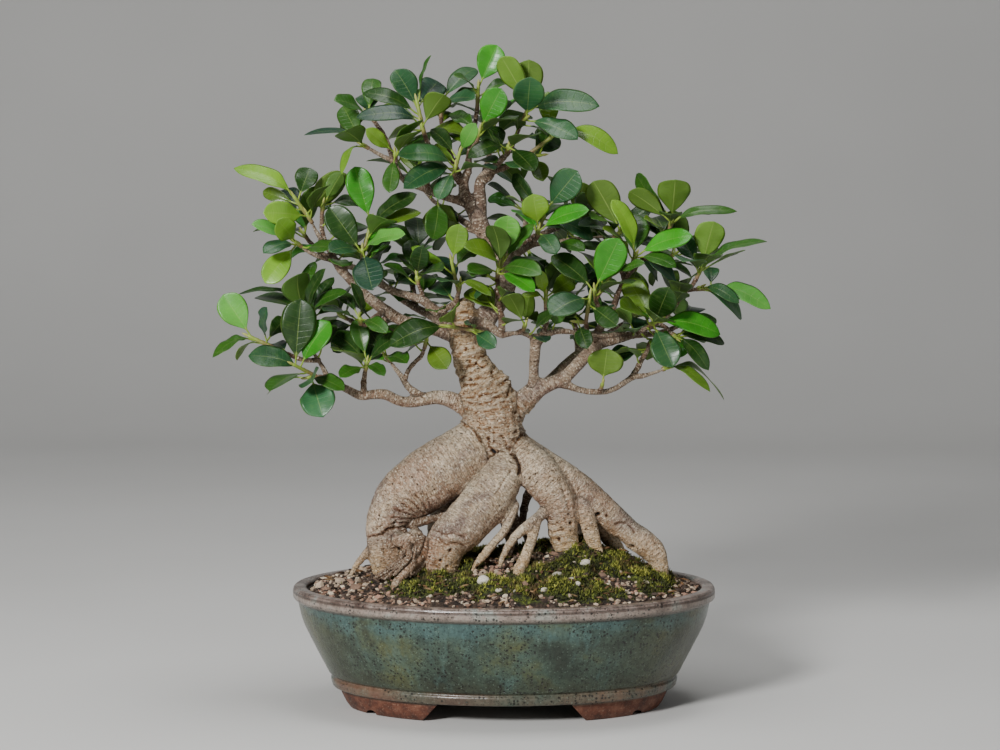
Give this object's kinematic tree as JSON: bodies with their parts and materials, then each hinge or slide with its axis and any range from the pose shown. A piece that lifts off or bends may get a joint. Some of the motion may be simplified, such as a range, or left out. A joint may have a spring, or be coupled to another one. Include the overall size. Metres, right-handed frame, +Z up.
{
  "type": "ginseng ficus in an oval pot",
  "caption": "Potted bonsai fig with swollen aerial roots over mossy soil, a short callused trunk and an irregular crown of glossy leaves, in a low oval glazed pot.",
  "frame": {"origin": "on the resting surface, under the middle of the whole plant's width and of the pot's depth; the pot's middle is 7.7 mm to the +X side", "axes": "+Z up; +X to the right and +Y away from the viewer in the picture's front view; the oval pot is long along X"},
  "size_m": [0.3872, 0.2196, 0.4624],
  "materials": {
    "glaze": "speckled teal-green celadon glaze on stoneware, browner on the rim and base band, bare terracotta feet",
    "plastic": "dark plastic drainage mesh",
    "soil": "moist peat and bark potting mix with grit, pebbles and moss on top",
    "bark": "pale grey-beige bark, wrinkled across, with ochre and dark patches",
    "leaf": "leathery glossy green leaves with pale midribs on yellow-green stalks"
  },
  "bodies": {
    "root": {"pot": "glaze", "drain_mesh_left": "plastic", "drain_mesh_right": "plastic", "soil": "soil", "wood": "bark", "spray_01": "leaf", "spray_02": "leaf", "spray_03": "leaf", "spray_04": "leaf", "spray_05": "leaf", "spray_06": "leaf", "spray_07": "leaf", "spray_08": "leaf", "spray_09": "leaf", "spray_10": "leaf", "spray_11": "leaf", "spray_12": "leaf", "spray_13": "leaf", "spray_14": "leaf", "spray_15": "leaf", "spray_16": "leaf", "spray_17": "leaf", "spray_18": "leaf", "spray_19": "leaf", "spray_20": "leaf", "spray_21": "leaf", "spray_22": "leaf", "spray_23": "leaf", "spray_24": "leaf", "spray_25": "leaf", "spray_26": "leaf", "spray_27": "leaf", "spray_28": "leaf", "spray_29": "leaf", "spray_30": "leaf", "spray_31": "leaf", "spray_32": "leaf", "spray_33": "leaf", "spray_34": "leaf", "spray_35": "leaf", "spray_36": "leaf", "spray_37": "leaf", "spray_38": "leaf", "spray_39": "leaf", "spray_40": "leaf", "spray_41": "leaf", "spray_42": "leaf", "spray_43": "leaf", "spray_44": "leaf", "spray_45": "leaf", "spray_46": "leaf", "spray_47": "leaf", "spray_48": "leaf", "spray_49": "leaf", "spray_50": "leaf", "spray_51": "leaf", "spray_52": "leaf", "spray_53": "leaf", "spray_54": "leaf", "spray_55": "leaf"}
  },
  "joints": []
}
